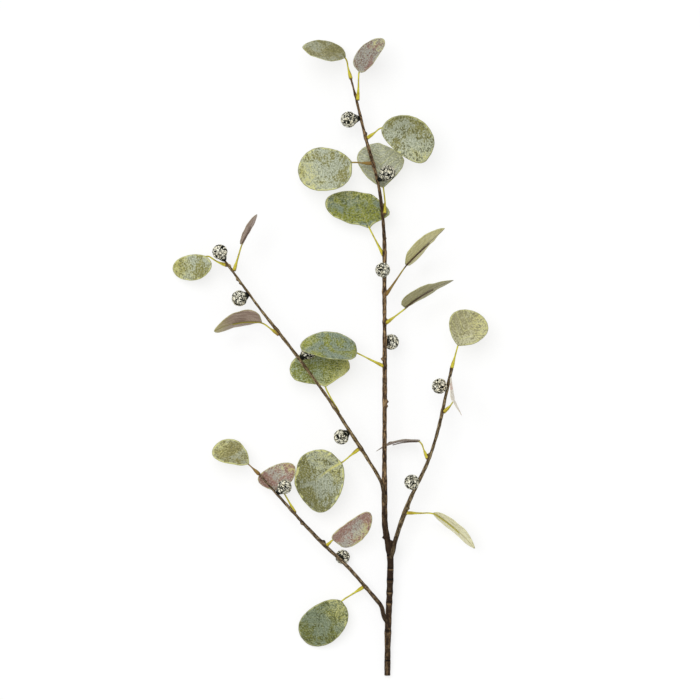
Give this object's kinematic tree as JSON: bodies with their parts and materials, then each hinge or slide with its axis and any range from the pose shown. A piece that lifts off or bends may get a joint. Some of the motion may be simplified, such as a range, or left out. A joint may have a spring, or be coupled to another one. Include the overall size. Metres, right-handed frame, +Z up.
{
  "type": "eucalyptus branch",
  "caption": "Artificial eucalyptus spray lying flat: a brown main stem with side shoots, round grey-green leaves on yellow stalks, and small speckled seed heads.",
  "frame": {"origin": "middle of the branch's bounding box, at the height of the surface it lies on", "axes": "+Y along the main stem from its cut end towards the top leaves, +X to the right seen from above, +Z up from the surface"},
  "size_m": [0.3488, 0.7036, 0.0769],
  "materials": {
    "bark": "matt brown, ribbed lengthwise",
    "stalk": "satin lime yellow, brown at some collars",
    "leaf": "matt printed cloth, frosted grey-green with a yellow rim",
    "seed_head": "matt, lumpy, dark with cream speckles"
  },
  "bodies": {
    "root": {"main_stem": "bark", "lower_left_branch": "bark", "upper_left_branch": "bark", "right_branch": "bark", "leaf_blade_01": "leaf", "leaf_stalk_01": "stalk", "leaf_blade_02": "leaf", "leaf_stalk_02": "stalk", "leaf_blade_03": "leaf", "leaf_stalk_03": "stalk", "leaf_blade_04": "leaf", "leaf_stalk_04": "stalk", "leaf_blade_05": "leaf", "leaf_stalk_05": "stalk", "leaf_blade_06": "leaf", "leaf_stalk_06": "stalk", "leaf_blade_07": "leaf", "leaf_stalk_07": "stalk", "leaf_blade_08": "leaf", "leaf_stalk_08": "stalk", "leaf_blade_09": "leaf", "leaf_stalk_09": "stalk", "leaf_blade_10": "leaf", "leaf_stalk_10": "stalk", "leaf_blade_11": "leaf", "leaf_stalk_11": "stalk", "leaf_blade_12": "leaf", "leaf_stalk_12": "stalk", "leaf_blade_13": "leaf", "leaf_stalk_13": "stalk", "leaf_blade_14": "leaf", "leaf_stalk_14": "stalk", "leaf_blade_15": "leaf", "leaf_stalk_15": "stalk", "leaf_blade_16": "leaf", "leaf_stalk_16": "stalk", "leaf_blade_17": "leaf", "leaf_stalk_17": "stalk", "leaf_blade_18": "leaf", "leaf_stalk_18": "stalk", "leaf_blade_19": "leaf", "leaf_stalk_19": "stalk", "leaf_blade_20": "leaf", "leaf_stalk_20": "stalk", "leaf_blade_21": "leaf", "leaf_stalk_21": "stalk", "leaf_blade_22": "leaf", "leaf_stalk_22": "stalk", "seed_head_01": "seed_head", "seed_head_02": "seed_head", "seed_head_03": "seed_head", "seed_head_04": "seed_head", "seed_head_05": "seed_head", "seed_head_06": "seed_head", "seed_head_07": "seed_head", "seed_head_08": "seed_head", "seed_head_09": "seed_head", "seed_head_10": "seed_head", "seed_head_11": "seed_head", "seed_head_12": "seed_head"}
  },
  "joints": []
}
